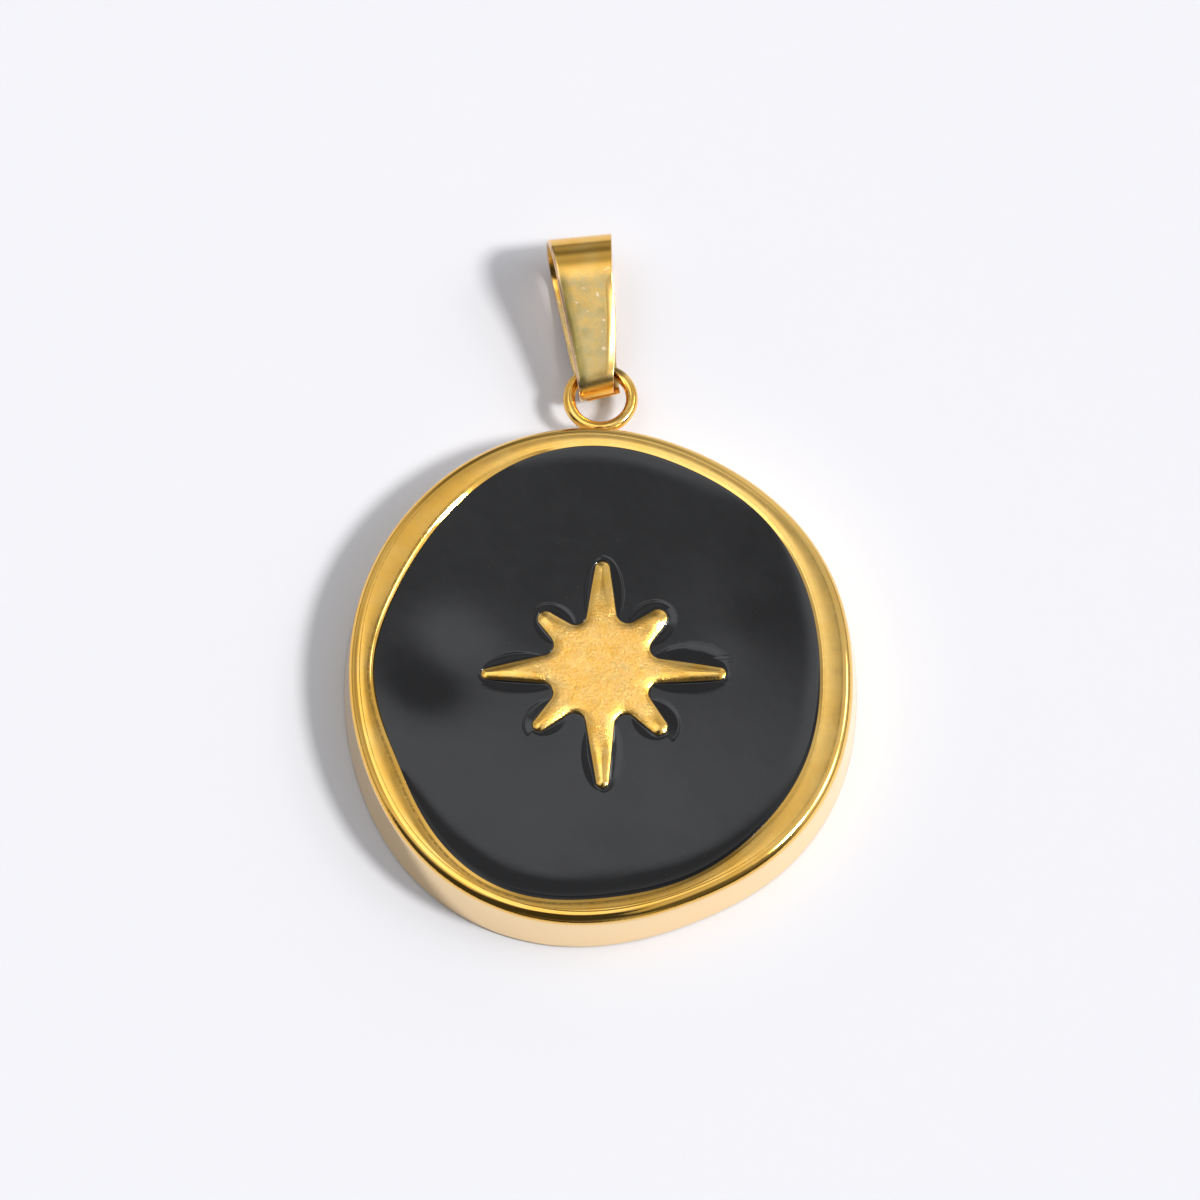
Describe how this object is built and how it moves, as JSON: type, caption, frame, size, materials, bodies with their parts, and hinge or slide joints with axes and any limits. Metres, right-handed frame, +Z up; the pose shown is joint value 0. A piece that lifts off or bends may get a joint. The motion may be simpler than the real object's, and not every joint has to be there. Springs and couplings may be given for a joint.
{
  "type": "pendant",
  "caption": "Unevenly round pendant: a raised eight-pointed star in a pool of black enamel, with a soldered ring and a tapered bail that swings on it for a chain to pass through.",
  "frame": {"origin": "middle of the disc's flat back, on the surface that the pendant lies on", "axes": "+Z up, out of the enamelled face; +Y towards the bail; +X to the right"},
  "size_m": [0.0272, 0.0402, 0.004],
  "materials": {
    "gold": "polished gold-coloured plating, satin on the star's middle",
    "enamel": "glossy black epoxy enamel"
  },
  "bodies": {
    "medallion": {"medallion": "gold", "enamel": "enamel"},
    "bail": {"bail": "gold"}
  },
  "joints": [
    {"name": "bail_swing", "type": "hinge", "parent": "medallion", "child": "bail", "pos_m": [-0.00032, 0.0178, 0.0015], "axis": [0.9942, 0.108, 0], "range_deg": [-120, 120]}
  ]
}
